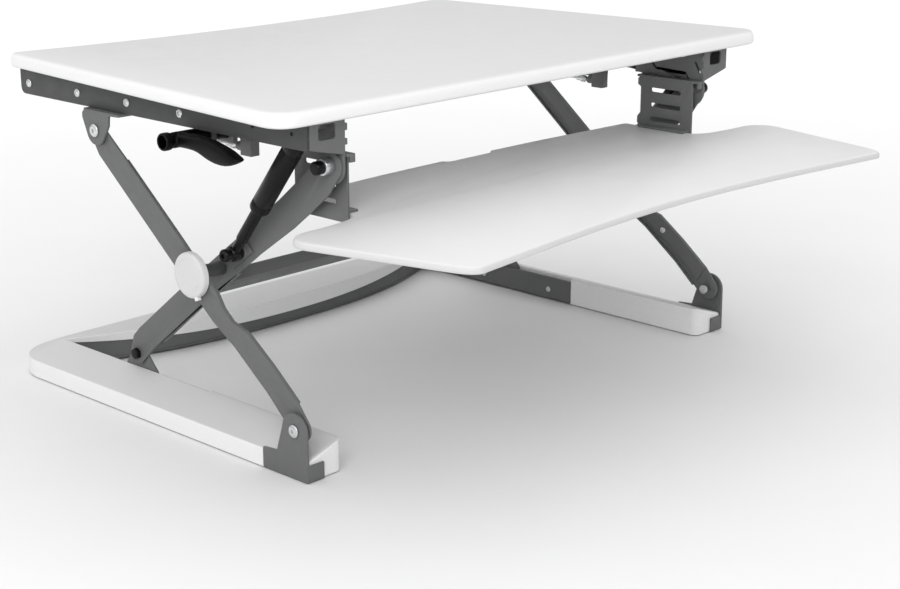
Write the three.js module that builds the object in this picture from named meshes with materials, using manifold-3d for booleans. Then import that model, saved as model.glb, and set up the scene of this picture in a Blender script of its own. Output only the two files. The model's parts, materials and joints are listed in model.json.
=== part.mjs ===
// A sit-stand desk converter: white top and keyboard tray on a grey steel scissor lift with two gas springs.
// Millimetres, +X to the user's right, +Y away from the user, +Z up.
// Every part is drawn from the middle of the base's front ends, at table height. The last lines then move the
// whole along Y, which puts the origin on the table under the middle of the converter.
import * as THREE from "three";
import { mergeVertices } from "three/addons/utils/BufferGeometryUtils.js";
import Module from "manifold-3d";

const wasm = await Module();
wasm.setup();

// ---------- driving dimensions ----------

const GAP = 0.35; // left between pieces that touch

// Scissor lift: equal arms crossing at their middles
const ARM_LENGTH = 459; // pivot to pivot
const REST_ANGLE = THREE.MathUtils.degToRad(39.73);
const FRONT_PIVOT_Y = 21.5;
const BASE_PIVOT_Z = 58.7;
const TOP_PIVOT_Z = BASE_PIVOT_Z + ARM_LENGTH * Math.sin(REST_ANGLE);
const REAR_PIVOT_Y = FRONT_PIVOT_Y + ARM_LENGTH * Math.cos(REST_ANGLE);
const HALF_ARM = ARM_LENGTH / 2;
const OUTER_WEB = [388.5, 391.5]; // |X| of the outer arm's plate
const INNER_WEB = [347.3, 350.3]; // |X| of the inner arm's plate, from the gas spring's lug down
const INNER_WEB_TOP = [335.65, 338.65]; // and at its top, beside the bracket

// Base: two feet joined by a bowed beam at the back
const BASE_HALF_WIDTH = 400;
const BASE_BACK_Y = 590;
const BASE_CORNER_RADIUS = 60;
const COVER_FRONT_Y = 3.5;
const COVER_SIDE_TOP = 24; // height of the outer side face
const COVER_TOP = 40;
const COVER_WALL = 2.5;
const COVER_BOTTOM = 1.5;
const FOOT_INNER_FRONT = 342; // |X| of the foot's inner face where the cover wraps it
const FOOT_INNER_REAR = 348; // |X| of the cover's inner lip beside the slide
const SLIDE_FRONT_Y = 234; // the steel inner plate starts here
const BEAM_FRONT_Y = 473; // middle of the bowed beam
const BEAM_BOW = 66; // how much further back the beam's front is at the feet
const STEEL = 3;

// Desktop
const BOARD_BOTTOM = TOP_PIVOT_Z + 56.9;
const BOARD_THICKNESS = 18;
const BOARD_FRONT_Y = -16;
const BOARD_FRONT_HALF = 443.5;
const BOARD_SIDE_TAPER = 0.09; // half width lost per millimetre of depth
const BOARD_BACK_Y = 526;
const BOARD_BACK_BOW = 36; // the back edge is this much further back at its corners
const UNDERSIDE = BOARD_BOTTOM - GAP;
const RAIL = { inner: 384, outer: 387, bottom: 377, front: 4, back: 541 };

// Top bracket and keyboard tray
const BRACKET_SIDE = [332, 335.3]; // |X| of the bracket's side plate
const HANGER = [319.2, 322.2]; // |X| of the tray hanger's plate
const TRAY_BOTTOM = 288;
const TRAY_THICKNESS = 8;
const TRAY_NOTCH = 40; // half width of the notch in the tray's back edge

// Release lever and gas spring
const LEVER_AXIS = { y: 204, z: 365.5 };
const SPRING_TOP = { y: 30, z: 396 };
const SPRING_X = 365.5;
const SPRING_RADIUS = 14;
const SPRING_PIN_ALONG = 181.5; // from the arm's top pivot
const SPRING_PIN_OFF = -5;

// ---------- materials ----------

const finish = (color, roughness, metalness = 0) =>
  new THREE.MeshStandardMaterial({ color, roughness, metalness });
const steelGrey = finish(0x6e6e70, 0.55, 0.4);
const darkGrey = finish(0x5a5a5c, 0.55, 0.4);
const boardWhite = finish(0xe9e9e9, 0.5);
const trayWhite = finish(0xe6e6e6, 0.45);
const coverWhite = finish(0xe4e4e4, 0.55);
const blackPaint = finish(0x1c1c1e, 0.45, 0.2);
const blackPlastic = finish(0x151516, 0.5);
const brightSteel = finish(0xd0d0d2, 0.3, 0.9);
const greyPlastic = finish(0x6a6a6c, 0.6);
const rubber = finish(0x202020, 0.9);

// ---------- solids ----------

function toSolid(geometry) {
  const bare = geometry.clone();
  bare.deleteAttribute("normal");
  bare.deleteAttribute("uv");
  const merged = mergeVertices(bare, 1e-4);
  return new wasm.Manifold(
    new wasm.Mesh({
      numProp: 3,
      vertProperties: merged.attributes.position.array,
      triVerts: new Uint32Array(merged.index.array),
    }),
  );
}

function toGeometry(solid) {
  const mesh = solid.getMesh();
  const geometry = new THREE.BufferGeometry();
  geometry.setAttribute("position", new THREE.BufferAttribute(mesh.vertProperties, 3));
  geometry.setIndex(new THREE.BufferAttribute(mesh.triVerts, 1));
  return geometry;
}

const join = (first, ...rest) =>
  toGeometry(rest.reduce((sum, g) => sum.add(toSolid(g)), toSolid(first)));
const cut = (body, ...tools) =>
  toGeometry(tools.reduce((left, g) => left.subtract(toSolid(g)), toSolid(body)));
const shared = (first, second) => toGeometry(toSolid(first).intersect(toSolid(second)));

function mirrored(geometry) {
  const copy = toGeometry(toSolid(geometry)).scale(-1, 1, 1);
  const index = copy.index.array;
  for (let i = 0; i < index.length; i += 3) {
    [index[i + 1], index[i + 2]] = [index[i + 2], index[i + 1]];
  }
  return copy;
}

const box = (x, y, z) =>
  new THREE.BoxGeometry(x[1] - x[0], y[1] - y[0], z[1] - z[0]).translate(
    (x[0] + x[1]) / 2,
    (y[0] + y[1]) / 2,
    (z[0] + z[1]) / 2,
  );

const outline = (points) => new THREE.Shape(points.map(([a, b]) => new THREE.Vector2(a, b)));

// Straight prisms: a flat outline in one plane, swept along the third axis
function prism(shape, from, to, curveSegments = 8) {
  return new THREE.ExtrudeGeometry(shape, {
    depth: to - from,
    bevelEnabled: false,
    curveSegments,
  }).translate(0, 0, from);
}
const axes = (x, y, z) =>
  new THREE.Matrix4().makeBasis(
    new THREE.Vector3(...x),
    new THREE.Vector3(...y),
    new THREE.Vector3(...z),
  );
// outline (y, z), swept along X
const plateX = (shape, from, to, segments) =>
  prism(shape, from, to, segments).applyMatrix4(axes([0, 1, 0], [0, 0, 1], [1, 0, 0]));
// outline (x, z), swept along Y
const plateY = (shape, from, to, segments) =>
  prism(shape, -to, -from, segments).applyMatrix4(axes([1, 0, 0], [0, 0, 1], [0, -1, 0]));

// Round parts: steps of [position, radius] along the axis, from end to end
function turnedY(steps, segments = 16) {
  const profile = [[steps[0][0], 0], ...steps, [steps.at(-1)[0], 0]];
  return new THREE.LatheGeometry(
    profile.map(([at, radius]) => new THREE.Vector2(radius, at)),
    segments,
  );
}
const turnedX = (steps, y = 0, z = 0, segments = 16) =>
  turnedY(steps, segments).rotateZ(-Math.PI / 2).translate(0, y, z);
const bar = (radius, from, to) => [
  [from, radius],
  [to, radius],
];

// A closed loft through level rings of equal point counts, each [points, z], around a convex middle
function loft(rings) {
  const count = rings[0][0].length;
  const positions = rings.flatMap(([points, z]) => points.flatMap(([x, y]) => [x, y, z]));
  const index = [];
  for (let ring = 0; ring + 1 < rings.length; ring++) {
    for (let i = 0; i < count; i++) {
      const a = ring * count + i;
      const b = ring * count + ((i + 1) % count);
      index.push(a, b, b + count, a, b + count, a + count);
    }
  }
  const top = (rings.length - 1) * count;
  for (let i = 1; i + 1 < count; i++) {
    index.push(0, i + 1, i, top, top + i, top + i + 1);
  }
  const geometry = new THREE.BufferGeometry();
  geometry.setAttribute("position", new THREE.Float32BufferAttribute(positions, 3));
  geometry.setIndex(index);
  return geometry;
}

// The closed outline of a bent slot of one width along a line of points
function slotPath(points, width) {
  const sides = [[], []];
  points.forEach(([a, b], i) => {
    const before = points[Math.max(i - 1, 0)];
    const after = points[Math.min(i + 1, points.length - 1)];
    const length = Math.hypot(after[0] - before[0], after[1] - before[1]);
    const across = [-(after[1] - before[1]) / length, (after[0] - before[0]) / length];
    sides[0].push([a + (across[0] * width) / 2, b + (across[1] * width) / 2]);
    sides[1].unshift([a - (across[0] * width) / 2, b - (across[1] * width) / 2]);
  });
  return [...sides[0], ...sides[1]];
}

function roundHole(shape, y, z, radius) {
  shape.holes.push(new THREE.Path().absarc(y, z, radius, 0, 2 * Math.PI, true));
  return shape;
}

// ---------- scene graph ----------

const converter = new THREE.Group();
const base = new THREE.Group();
const desk = new THREE.Group();
const outerArms = new THREE.Group();
const innerArms = new THREE.Group();
const levers = new THREE.Group();
const springs = new THREE.Group();

outerArms.position.set(0, FRONT_PIVOT_Y, BASE_PIVOT_Z);
outerArms.rotation.x = REST_ANGLE;
innerArms.position.set(0, FRONT_PIVOT_Y, TOP_PIVOT_Z);
innerArms.rotation.x = -REST_ANGLE;
levers.position.set(0, LEVER_AXIS.y, LEVER_AXIS.z);

const springPin = {
  y:
    FRONT_PIVOT_Y +
    SPRING_PIN_ALONG * Math.cos(REST_ANGLE) +
    SPRING_PIN_OFF * Math.sin(REST_ANGLE),
  z: TOP_PIVOT_Z - SPRING_PIN_ALONG * Math.sin(REST_ANGLE) + SPRING_PIN_OFF * Math.cos(REST_ANGLE),
};
const springLength = Math.hypot(springPin.y - SPRING_TOP.y, springPin.z - SPRING_TOP.z);
springs.position.set(0, SPRING_TOP.y, SPRING_TOP.z);
springs.rotation.x = Math.atan2(springPin.z - SPRING_TOP.z, springPin.y - SPRING_TOP.y);

converter.add(base, desk, outerArms, innerArms, levers, springs);

function place(group, name, geometry, material) {
  const mesh = new THREE.Mesh(geometry, material.clone());
  mesh.name = name;
  group.add(mesh);
}
// The right-hand piece as drawn, and its mirror image on the left
function placePair(group, name, geometry, material) {
  place(group, name + "_right", geometry, material);
  place(group, name + "_left", mirrored(geometry), material);
}

// ---------- base ----------

// Front edge of the beam at a distance x from the middle
const beamFront = (x) => BEAM_FRONT_Y + BEAM_BOW * Math.abs(x / FOOT_INNER_FRONT) ** 2.6;

// Outline of a foot-and-beam block, grown inwards by inset, with rounded back corners
function backRounded(halfWidth, front, back, radius) {
  const points = [[halfWidth, front]];
  const steps = 8;
  for (const side of [1, -1]) {
    for (let i = 0; i <= steps; i++) {
      const turn = ((side > 0 ? i : steps - i) / steps) * (Math.PI / 2);
      points.push([
        side * (halfWidth - radius + radius * Math.cos(turn)),
        back - radius + radius * Math.sin(turn),
      ]);
    }
  }
  points.push([-halfWidth, front]);
  return points;
}

// The outer form of the cover: upright sides, then tops sloping up to the inner edges
function coverForm(inset, bottom) {
  const sideHalf = BASE_HALF_WIDTH - inset;
  const topHalf = FOOT_INNER_REAR + 1 - inset;
  const front = COVER_FRONT_Y + inset;
  const lower = backRounded(sideHalf, front, BASE_BACK_Y - inset, BASE_CORNER_RADIUS - inset);
  const upper = backRounded(topHalf, front, BASE_BACK_Y - 38 - inset, 10);
  return loft([
    [lower, bottom],
    [lower, COVER_SIDE_TOP - inset * 0.6],
    [upper, COVER_TOP - inset],
  ]);
}

// The open space between the feet, grown by grow, from startY back to the beam
function spaceBetweenFeet(halfWidth, startY, grow) {
  const right = [];
  const steps = 12;
  for (let i = 0; i <= steps; i++) {
    const x = halfWidth * (1 - i / steps);
    right.push([x, beamFront(x) + grow]);
  }
  const left = right.slice(0, -1).reverse().map(([x, y]) => [-x, y]);
  return outline([[halfWidth, startY], ...right, ...left, [-halfWidth, startY]]);
}

function baseCover() {
  const high = COVER_TOP + 5;
  const slideTop = 34;
  // The beam's front wall reaches lowest in the middle
  const beamWallBottom = (x) => 18 + 16 * (x / FOOT_INNER_FRONT) ** 2;
  const frontSpace = (grow) =>
    box(
      [-FOOT_INNER_FRONT - grow, FOOT_INNER_FRONT + grow],
      [-20, SLIDE_FRONT_Y + 10],
      [-5, high],
    );
  const openSpace = (grow) =>
    join(
      frontSpace(grow),
      prism(spaceBetweenFeet(FOOT_INNER_REAR + grow, SLIDE_FRONT_Y + grow, grow), -5, high),
    );
  const hollow = cut(coverForm(COVER_WALL, -1), openSpace(COVER_WALL));
  const shell = cut(coverForm(0, COVER_BOTTOM), openSpace(0), hollow);
  const lipX = FOOT_INNER_REAR + COVER_WALL + 0.1;
  const slideMouths = [1, -1].map((side) =>
    box(
      [Math.min(side * 340, side * lipX), Math.max(side * 340, side * lipX)],
      [SLIDE_FRONT_Y + 2, 522],
      [-5, slideTop],
    ),
  );
  const mouthTop = [];
  const steps = 14;
  for (let i = 0; i <= steps; i++) {
    const x = lipX * (1 - (2 * i) / steps);
    mouthTop.push([x, beamWallBottom(x)]);
  }
  const beamMouth = shared(
    prism(spaceBetweenFeet(lipX, BEAM_FRONT_Y - 10, COVER_WALL + 0.1), -5, high),
    plateY(outline([[-lipX, -5], [lipX, -5], ...mouthTop]), BEAM_FRONT_Y - 20, 560),
  );
  const bracketSeats = [1, -1].map((side) => {
    const inner = 396.5 - GAP;
    return box(
      [Math.min(side * inner, side * 410), Math.max(side * inner, side * 410)],
      [-5, 76 + GAP],
      [-5, high],
    );
  });
  const frontCornerRounds = [1, -1].map((side) => {
    const radius = 12;
    const at = FOOT_INNER_FRONT;
    const shape = outline([[side * (at - 2), -2 + COVER_FRONT_Y]]);
    shape.lineTo(side * (at + radius), -2 + COVER_FRONT_Y);
    shape.lineTo(side * (at + radius), COVER_FRONT_Y);
    shape.absarc(
      side * (at + radius),
      COVER_FRONT_Y + radius,
      radius,
      -Math.PI / 2,
      side > 0 ? -Math.PI : 0,
      side > 0,
    );
    shape.lineTo(side * (at - 2), COVER_FRONT_Y + radius);
    return prism(shape, -5, high, 6);
  });
  return cut(shell, ...slideMouths, beamMouth, ...bracketSeats, ...frontCornerRounds);
}

function baseFrame() {
  const bottom = 3.2;
  const wallTop = 36;
  const beamTop = 33.5;
  const inner = 341;
  const wall = 2.4;
  const behindCover = COVER_WALL + 0.4;
  const floor = cut(
    loft([
      [backRounded(394, 12, 584, 54), bottom],
      [backRounded(394, 12, 584, 54), bottom + 2.5],
    ]),
    prism(spaceBetweenFeet(inner, SLIDE_FRONT_Y, 1.5), 0, 20),
    box([-345.2, 345.2], [-5, SLIDE_FRONT_Y + 1], [0, 20]),
  );
  const walls = cut(
    prism(spaceBetweenFeet(inner + wall, SLIDE_FRONT_Y + 1, behindCover + wall), bottom, wallTop),
    prism(spaceBetweenFeet(inner, SLIDE_FRONT_Y - 5, behindCover), 0, wallTop + 5),
    box([-400, 400], [535, 600], [beamTop, wallTop + 5]),
    box([-340, 340], [BEAM_FRONT_Y - 20, 600], [beamTop, wallTop + 5]),
  );
  return join(floor, walls);
}

function frontBracket() {
  const shape = outline([
    [0.5, 1],
    [76, 1],
    [76, 26],
    [52, 28],
    [40, 66],
  ]);
  shape.absarc(FRONT_PIVOT_Y, BASE_PIVOT_Z, 20.5, 0.35, Math.PI * 0.98, false);
  roundHole(shape, FRONT_PIVOT_Y, BASE_PIVOT_Z, 4.9);
  const plate = plateX(shape, 396.5, BASE_HALF_WIDTH, 10);
  return join(plate, box([374, 397], [0.5, 3.2], [1, 21]));
}

function lowerTrack() {
  const left = 352;
  const right = 374;
  const low = 6;
  const high = 28;
  const skin = 2;
  return plateY(
    outline([
      [left, low],
      [right, low],
      [right, high],
      [left, high],
      [left, high - skin],
      [right - skin, high - skin],
      [right - skin, low + skin],
      [left, low + skin],
    ]),
    SLIDE_FRONT_Y + 6,
    524,
  );
}

function frontPivotBolt() {
  const head = turnedX(
    [
      [380, 6.5],
      [385.6, 6.5],
      [385.6, 4.5],
      [400.3, 4.5],
      [400.3, 7.8],
      [401.6, 7.8],
      [403, 5.5],
    ],
    FRONT_PIVOT_Y,
    BASE_PIVOT_Z,
  );
  return cut(head, turnedX(bar(2.4, 400.8, 405), FRONT_PIVOT_Y, BASE_PIVOT_Z, 6));
}

place(base, "base_cover", baseCover(), coverWhite);
place(base, "base_frame", baseFrame(), steelGrey);
placePair(base, "front_bracket", frontBracket(), steelGrey);
placePair(base, "lower_track", lowerTrack(), brightSteel);
placePair(base, "front_pivot_bolt", frontPivotBolt(), brightSteel);
for (const [end, y] of [
  ["front", 60],
  ["rear", 545],
]) {
  const foot = new THREE.CylinderGeometry(14, 12.5, 3, 24)
    .rotateX(Math.PI / 2)
    .translate(366, y, 1.5);
  placePair(base, "rubber_foot_" + end, foot, rubber);
}

// ---------- outer arms: y runs along the arm from the front base pivot, z across it ----------

const outerArmLow = [
  [18, -13.5],
  [60, -11.5],
  [130, -14.5],
  [175, -21],
  [440, -23.8],
];
const outerArmHigh = [
  [445, 10.5],
  [277, 12.6],
  [192, 12],
  [172, 6],
  [152, 6],
  [126, 17.5],
  [75, 21],
  [22, 21.5],
];

function outerArm() {
  const face = new THREE.Shape();
  face.absarc(0, 1, 16.5, Math.PI * 0.62, Math.PI * 1.62, false);
  outerArmLow.forEach(([along, across]) => face.lineTo(along, across));
  face.absarc(ARM_LENGTH, -3, 15.5, -Math.PI * 0.55, Math.PI * 0.5, false);
  outerArmHigh.forEach(([along, across]) => face.lineTo(along, across));
  for (const [at, radius] of [
    [0, 4.9],
    [HALF_ARM, 6.4],
    [ARM_LENGTH, 4.9],
  ]) {
    roundHole(face, at, 0, radius);
  }
  const web = plateX(face, ...OUTER_WEB, 8);
  const raised = (by) => outerArmLow.map(([along, across]) => [along, across + by]);
  const flange = plateX(
    outline([...outerArmLow, ...raised(2.8).reverse()]),
    384.6,
    OUTER_WEB[0] + 1,
  );
  const liner = plateX(
    outline([...raised(11).slice(0, -1), [400, -9], [400, 11], ...outerArmHigh.slice(1)]),
    386,
    OUTER_WEB[0] + 1,
  );
  return cut(
    join(web, flange, liner),
    turnedX(bar(6.4, 380, 395), HALF_ARM, 0),
    turnedX(bar(4.9, 380, 395)),
  );
}

function centrePin() {
  return turnedX(
    [
      [344, 6],
      [350.6, 6],
      [350.6, 8.4],
      [385.6, 8.4],
      [385.6, 6],
      [391.7, 6],
    ],
    HALF_ARM,
    0,
  );
}

function centreCap() {
  return turnedX(
    [
      [392, 26],
      [393, 27.5],
      [399.5, 27.5],
      [401, 26.3],
      [401.8, 24],
      [402.2, 12],
    ],
    HALF_ARM,
    0,
    32,
  );
}

placePair(outerArms, "outer_arm", outerArm(), steelGrey);
placePair(outerArms, "centre_pin", centrePin(), darkGrey);
placePair(outerArms, "centre_cap", centreCap(), coverWhite);

// ---------- inner arms: y runs along the arm from the top front pivot, z across it ----------

const CROSS_BAR = { along: [262, 293], across: [-8, 8] };
const STEP_OUT = [100, 160]; // where the plate bends outwards

const innerArmLow = [
  [9, -20.5],
  [22, -24.6],
  [64, -24.2],
  [175, -21.5],
  [258, -15],
  [ARM_LENGTH - 37, -11.2],
];
const innerArmHigh = [
  [ARM_LENGTH - 9, 21.5],
  [ARM_LENGTH - 28, 23],
  [ARM_LENGTH - 134, 20],
  [170, 12.5],
  [106, 14.5],
  [40, 14.5],
];

function innerArm() {
  const face = new THREE.Shape();
  face.absarc(0, -1, 17.5, Math.PI * 0.55, Math.PI * 1.42, false);
  innerArmLow.forEach(([along, across]) => face.lineTo(along, across));
  face.absarc(ARM_LENGTH, 0, 14, -Math.PI * 0.6, Math.PI * 0.35, false);
  innerArmHigh.forEach(([along, across]) => face.lineTo(along, across));
  for (const [at, radius] of [
    [0, 5.4],
    [HALF_ARM, 6.4],
    [ARM_LENGTH, 4.4],
  ]) {
    roundHole(face, at, 0, radius);
  }
  const [topIn, topOut] = INNER_WEB_TOP;
  const [lowIn, lowOut] = INNER_WEB;
  const beyond = 30;
  const bentSheet = prism(
    outline([
      [topIn, -beyond],
      [topOut, -beyond],
      [topOut, STEP_OUT[0]],
      [lowOut, STEP_OUT[1]],
      [lowOut, ARM_LENGTH + beyond],
      [lowIn, ARM_LENGTH + beyond],
      [lowIn, STEP_OUT[1]],
      [topIn, STEP_OUT[0]],
    ]),
    -beyond - 10,
    beyond + 10,
  );
  const web = shared(plateX(face, topIn - 5, lowOut + 5, 8), bentSheet);
  const flangeTip = 338;
  const strip = (points, by) =>
    plateX(
      outline([...points, ...points.map(([along, across]) => [along, across + by]).reverse()]),
      flangeTip,
      INNER_WEB[0] + 1,
    );
  const lowFlange = strip([[215, -18.2], [258, -14.8], [ARM_LENGTH - 50, -11.5]], 2.5);
  const highFlange = strip([[ARM_LENGTH - 50, 22.4], [ARM_LENGTH - 134, 19.8], [215, 14.4]], -2.5);
  return join(web, lowFlange, highFlange);
}

function crossBar() {
  const { along, across } = CROSS_BAR;
  const half = INNER_WEB[0] - GAP;
  const skin = 2.5;
  return cut(
    box([-half, half], along, across),
    box(
      [-half - 1, half + 1],
      [along[0] + skin, along[1] - skin],
      [across[0] + skin, across[1] - skin],
    ),
  );
}

function springLug() {
  const faceX = INNER_WEB[1] + GAP;
  const plateShape = outline([
    [SPRING_PIN_ALONG - 16, -15],
    [SPRING_PIN_ALONG + 30, -12],
    [SPRING_PIN_ALONG + 32, 2],
    [SPRING_PIN_ALONG + 8, 8],
    [SPRING_PIN_ALONG - 14, 6],
  ]);
  return join(
    plateX(plateShape, faceX, faceX + STEEL),
    turnedX(bar(9, faceX + 1, 355.9), SPRING_PIN_ALONG, SPRING_PIN_OFF),
  );
}

placePair(innerArms, "inner_arm", innerArm(), steelGrey);
place(innerArms, "cross_bar", crossBar(), steelGrey);
placePair(innerArms, "spring_lug", springLug(), steelGrey);

// ---------- carriages that let the rear pivots slide ----------

function lowerCarriage() {
  const lug = outline([[REAR_PIVOT_Y - 34, 10]]);
  lug.lineTo(REAR_PIVOT_Y + 34, 10);
  lug.lineTo(REAR_PIVOT_Y + 30, 38);
  lug.absarc(REAR_PIVOT_Y, BASE_PIVOT_Z, 12, 0.5, Math.PI - 0.5, false);
  lug.lineTo(REAR_PIVOT_Y - 34, 40);
  roundHole(lug, REAR_PIVOT_Y, BASE_PIVOT_Z, 4.4);
  const lugFaces = [343.8, 347];
  return join(
    plateX(lug, ...lugFaces),
    box([lugFaces[1] - 1, 371.5], [REAR_PIVOT_Y - 24, REAR_PIVOT_Y + 24], [8.5, 25.5]),
  );
}

function lowerPivotBolt() {
  return join(
    turnedX(
      [
        [339.5, 6.5],
        [343.4, 6.5],
        [343.4, 4],
        [351.5, 4],
      ],
      REAR_PIVOT_Y,
      BASE_PIVOT_Z,
    ),
    turnedX(
      [
        [350.7, 7.6],
        [355.2, 7.6],
        [356.2, 6.6],
      ],
      REAR_PIVOT_Y,
      BASE_PIVOT_Z,
      6,
    ),
  );
}

function upperCarriage() {
  const plateFaces = [392.5, 396];
  const shelf = [373.6, 376.5];
  const [front, back] = [REAR_PIVOT_Y - 49, REAR_PIVOT_Y + 24.5];
  const ear = outline([
    [back - 5, shelf[1]],
    [front, shelf[1]],
    [front, shelf[0]],
    [REAR_PIVOT_Y - 28.5, shelf[0] - 1],
    [REAR_PIVOT_Y - 27, 360],
  ]);
  ear.absarc(REAR_PIVOT_Y - 1, TOP_PIVOT_Z, 18, Math.PI * 1.18, Math.PI * 1.84, false);
  ear.lineTo(back, 366);
  ear.lineTo(back, shelf[1] - 5);
  roundHole(ear, REAR_PIVOT_Y, TOP_PIVOT_Z, 4.9);
  const span = [front, back];
  return join(
    plateX(ear, ...plateFaces, 8),
    box([364, plateFaces[0] + 1], span, shelf),
    box([369, 374], [span[0] + 6, span[1] - 6], [shelf[1] - 1, 386]),
    box([364.5, 378.5], [span[0] + 6, span[1] - 6], [385, 400]),
  );
}

function rearPivotScrew() {
  const body = turnedX(
    [
      [382.5, 6.5],
      [387.8, 6.5],
      [387.8, 4.5],
      [396.3, 4.5],
      [396.3, 8.2],
      [397.8, 8.2],
      [399.4, 6],
    ],
    REAR_PIVOT_Y,
    TOP_PIVOT_Z,
  );
  return cut(body, turnedX(bar(2.6, 397, 402), REAR_PIVOT_Y, TOP_PIVOT_Z, 6));
}

placePair(base, "lower_carriage", lowerCarriage(), steelGrey);
placePair(base, "lower_pivot_bolt", lowerPivotBolt(), blackPaint);
placePair(desk, "upper_carriage", upperCarriage(), steelGrey);
placePair(desk, "rear_pivot_screw", rearPivotScrew(), brightSteel);

// ---------- desktop board ----------

function roundedPolygon(corners, curveSteps = 6) {
  // corners: [x, y, radius], joined by straight edges and quadratic corner curves
  const shape = new THREE.Shape();
  corners.forEach(([x, y, radius], i) => {
    const before = corners[(i + corners.length - 1) % corners.length];
    const after = corners[(i + 1) % corners.length];
    const towards = ([px, py]) => {
      const length = Math.hypot(px - x, py - y);
      const reach = Math.min(radius, length / 2);
      return [x + ((px - x) / length) * reach, y + ((py - y) / length) * reach];
    };
    const [inX, inY] = towards(before);
    const [outX, outY] = towards(after);
    if (i === 0) shape.moveTo(inX, inY);
    else shape.lineTo(inX, inY);
    if (radius > 0) shape.quadraticCurveTo(x, y, outX, outY);
  });
  return new THREE.Shape(shape.getPoints(curveSteps).slice(0, -1));
}

function desktopBoard() {
  const edge = 6; // how far the rounded edge reaches in
  const sideHalf = (y) => BOARD_FRONT_HALF - BOARD_SIDE_TAPER * (y - BOARD_FRONT_Y) - edge;
  const front = BOARD_FRONT_Y + edge;
  const cornerY = BOARD_BACK_Y + BOARD_BACK_BOW - edge;
  const corners = [
    [-sideHalf(front), front, 46],
    [sideHalf(front), front, 46],
    [sideHalf(cornerY), cornerY, 16],
  ];
  const backHalf = sideHalf(cornerY);
  const steps = 10;
  for (let i = 1; i < steps; i++) {
    const x = backHalf * (1 - (2 * i) / steps);
    corners.push([x, BOARD_BACK_Y + BOARD_BACK_BOW * (x / backHalf) ** 2 - edge, 0]);
  }
  corners.push([-backHalf, cornerY, 16]);
  return new THREE.ExtrudeGeometry(roundedPolygon(corners), {
    depth: BOARD_THICKNESS - 2 * edge,
    bevelThickness: edge,
    bevelSize: edge,
    bevelSegments: 3,
  }).translate(0, 0, BOARD_BOTTOM + edge);
}

place(desk, "desktop_board", desktopBoard(), boardWhite);

// ---------- parts under the board ----------

function sideRail() {
  const { inner, outer, bottom, front, back } = RAIL;
  const web = outline([
    [front, bottom + 1],
    [front + 1, bottom],
  ]);
  web.lineTo(back - 10, bottom);
  web.quadraticCurveTo(back, bottom, back, bottom + 10);
  web.lineTo(back, UNDERSIDE);
  web.lineTo(front, UNDERSIDE);
  const bearing = cut(
    box([358, 363], [LEVER_AXIS.y - 14, LEVER_AXIS.y + 14], [352, UNDERSIDE - 1]),
    turnedX(bar(10, 350, 365), LEVER_AXIS.y, LEVER_AXIS.z),
  );
  const flange = box([352, outer - 1], [122, back], [UNDERSIDE - 2.6, UNDERSIDE]);
  return join(plateX(web, inner, outer, 6), flange, bearing);
}

function upperSlide() {
  const [low, high] = [380, 405.4];
  const [inner, outer] = [361, 382];
  const skin = 2;
  const lip = 5.5;
  const section = outline([
    [inner, low],
    [inner + lip, low],
    [inner + lip, low + skin],
    [inner + skin, low + skin],
    [inner + skin, high - skin],
    [outer - skin, high - skin],
    [outer - skin, low + skin],
    [outer - lip, low + skin],
    [outer - lip, low],
    [outer, low],
    [outer, high],
    [inner, high],
  ]);
  return plateY(section, 240, 534);
}

function topBracket() {
  const [inner, outer] = BRACKET_SIDE;
  const side = outline([[2.2, UNDERSIDE]]);
  side.lineTo(2.2, 350);
  side.absarc(FRONT_PIVOT_Y, 350, FRONT_PIVOT_Y - 2.2, Math.PI, 2 * Math.PI, false);
  side.lineTo(46, 366.9);
  side.lineTo(118, 366.9);
  side.lineTo(112, UNDERSIDE);
  roundHole(side, FRONT_PIVOT_Y, TOP_PIVOT_Z, 5.4);
  for (const path of [
    [
      [91, 385],
      [82, 375.5],
      [32, 374],
    ],
    [
      [17, 391],
      [8, 376],
    ],
  ]) {
    side.holes.push(outline(slotPath(path, 3.4)));
  }
  const front = outline([
    [outer - 1, UNDERSIDE],
    [outer - 1, 366],
    [RAIL.inner - 2, 377.5],
    [RAIL.inner - 0.7, 378.5],
    [RAIL.inner - 0.7, UNDERSIDE],
  ]);
  front.holes.push(
    roundedPolygon([
      [346, 386.5, 4],
      [371, 386.5, 4],
      [371, 403.5, 4],
      [346, 403.5, 4],
    ]),
  );
  return join(
    plateX(side, inner, outer, 8),
    plateY(front, 2.2, 5.2),
    box([outer - 1, RAIL.inner - 0.7], [4, 100], [UNDERSIDE - 2.4, UNDERSIDE]),
    ...[
      [377, 384],
      [393, 401],
    ].map((tab) => box([328.5, inner + 1], [2.2, 5.2], tab)),
  );
}

function topPivotBolt() {
  return join(
    turnedX(bar(5, 328, 354), FRONT_PIVOT_Y, TOP_PIVOT_Z),
    turnedX(
      [
        [325.8, 7.4],
        [331.6, 7.4],
      ],
      FRONT_PIVOT_Y,
      TOP_PIVOT_Z,
      6,
    ),
    turnedX(
      [
        [339, 9.7],
        [350, 9.7],
        [350.8, 9],
      ],
      FRONT_PIVOT_Y,
      TOP_PIVOT_Z,
      24,
    ),
  );
}

function topPivotNut() {
  return cut(
    turnedX(
      [
        [351.2, 7.8],
        [360, 7.8],
        [361.5, 6.4],
      ],
      FRONT_PIVOT_Y,
      TOP_PIVOT_Z,
      24,
    ),
    turnedX(bar(5.4, 350, 356), FRONT_PIVOT_Y, TOP_PIVOT_Z),
  );
}

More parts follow.
